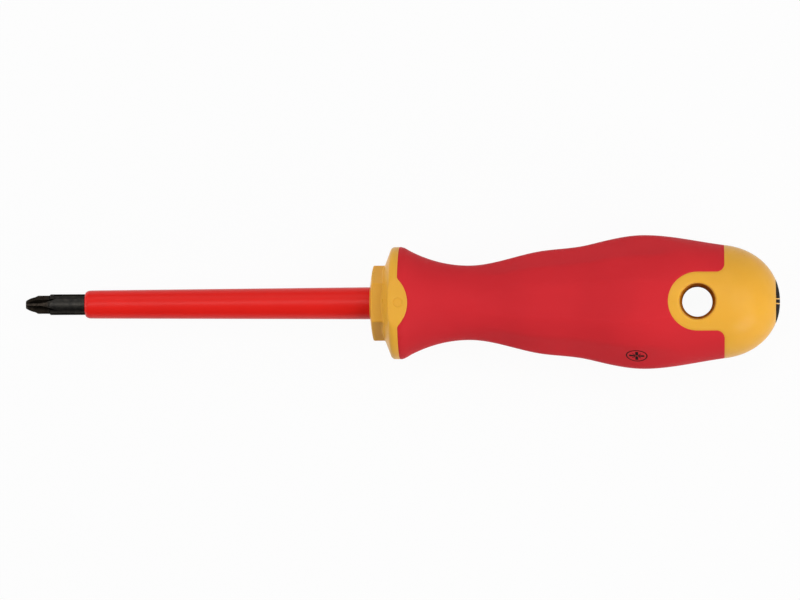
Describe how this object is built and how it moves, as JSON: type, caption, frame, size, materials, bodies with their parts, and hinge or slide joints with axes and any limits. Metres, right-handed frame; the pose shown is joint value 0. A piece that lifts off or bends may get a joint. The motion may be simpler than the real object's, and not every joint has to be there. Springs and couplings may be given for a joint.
{
  "type": "insulated screwdriver",
  "caption": "Insulated screwdriver: a sleeved steel blade with a ground cross tip, and a moulded soft-grip handle with a hexagonal collar, finger guard and hanging hole.",
  "frame": {"origin": "point of the cross tip, on the axis of the blade", "axes": "+X along the blade from the tip to the end of the handle, +Z along the hanging hole, so the tool lies on one of its grip flats"},
  "size_m": [0.218, 0.0384, 0.0366],
  "materials": {
    "blade_steel": "black oxide, satin",
    "insulation": "smooth moulded, red",
    "core": "smooth moulded, yellow",
    "grip": "fine matt moulded elastomer, red"
  },
  "bodies": {
    "root": {"blade": "blade_steel", "blade_insulation": "insulation", "handle_core": "core", "soft_grip": "grip"}
  },
  "joints": []
}
